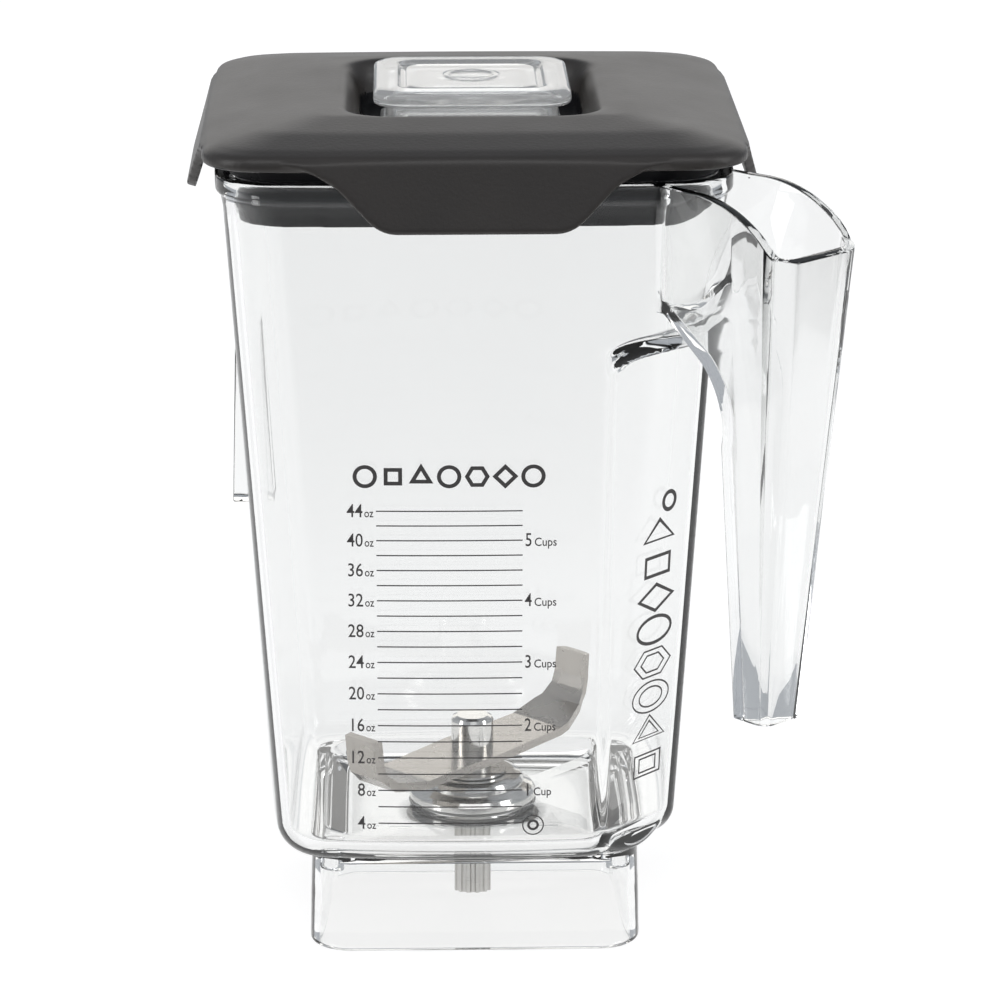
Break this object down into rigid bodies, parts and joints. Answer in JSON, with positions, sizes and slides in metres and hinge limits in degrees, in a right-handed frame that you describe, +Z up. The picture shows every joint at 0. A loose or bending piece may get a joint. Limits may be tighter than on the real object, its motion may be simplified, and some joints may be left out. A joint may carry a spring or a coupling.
{
  "type": "blender jar",
  "caption": "Clear square blender jar with a flattened side, hollow handle, bent blade on a splined drive hub, soft dark lid with flaps and a clear lift-out cap.",
  "frame": {"origin": "on the drive axis, at the height of the skirt's bottom edge that the jar stands on", "axes": "+Z up along the drive axis; -Y towards the side with the graduations; +X to the right of that side; the handle points along +X and -Y equally"},
  "size_m": [0.1804, 0.1804, 0.246],
  "materials": {
    "clear_plastic": "clear, polished copolyester",
    "lid_vinyl": "soft satin moulding",
    "housing_steel": "turned and stamped steel",
    "gasket_silicone": "pale silicone",
    "polished_steel": "polished stainless steel",
    "bearing_steel": "ground bearing steel",
    "cage_plastic": "moulded nylon",
    "seal_rubber": "nitrile rubber",
    "shaft_steel": "machined stainless steel",
    "blade_steel": "satin stainless steel"
  },
  "bodies": {
    "jar": {"jar_vessel": "clear_plastic", "bearing_housing": "housing_steel", "housing_gasket": "gasket_silicone", "dome_cover": "polished_steel", "lower_outer_race": "bearing_steel", "upper_outer_race": "bearing_steel", "bearing_shields": "housing_steel", "outer_spacer": "housing_steel", "retaining_ring": "housing_steel", "seal_case": "housing_steel", "seal_lip": "seal_rubber"},
    "blade_rotor": {"drive_shaft": "shaft_steel", "lower_inner_race": "bearing_steel", "upper_inner_race": "bearing_steel", "inner_spacer": "housing_steel", "blade_collar": "polished_steel", "slinger": "polished_steel", "blade": "blade_steel", "shaft_cap": "polished_steel"},
    "lower_ball_set": {"lower_balls": "bearing_steel", "lower_cage": "cage_plastic"},
    "upper_ball_set": {"upper_balls": "bearing_steel", "upper_cage": "cage_plastic"},
    "lid": {"lid": "lid_vinyl"},
    "center_cap": {"center_cap": "clear_plastic"}
  },
  "joints": [
    {"name": "blade_spin", "type": "hinge", "parent": "jar", "child": "blade_rotor", "pos_m": [0, 0, 0.03], "axis": [0, 0, 1], "continuous": true},
    {"name": "lower_ball_orbit", "type": "hinge", "parent": "jar", "child": "lower_ball_set", "pos_m": [0, 0, 0.0272], "axis": [0, 0, 1], "continuous": true},
    {"name": "upper_ball_orbit", "type": "hinge", "parent": "jar", "child": "upper_ball_set", "pos_m": [0, 0, 0.0322], "axis": [0, 0, 1], "continuous": true},
    {"name": "lid_lift", "type": "slide", "parent": "jar", "child": "lid", "axis": [0, 0, 1], "range_m": [0, 0.06]},
    {"name": "cap_lift", "type": "slide", "parent": "lid", "child": "center_cap", "axis": [0, 0, 1], "range_m": [0, 0.04]}
  ],
  "couplings": [
    {"joint": "lower_ball_orbit", "follows": "blade_spin", "ratio": 0.4167},
    {"joint": "upper_ball_orbit", "follows": "blade_spin", "ratio": 0.4167}
  ]
}
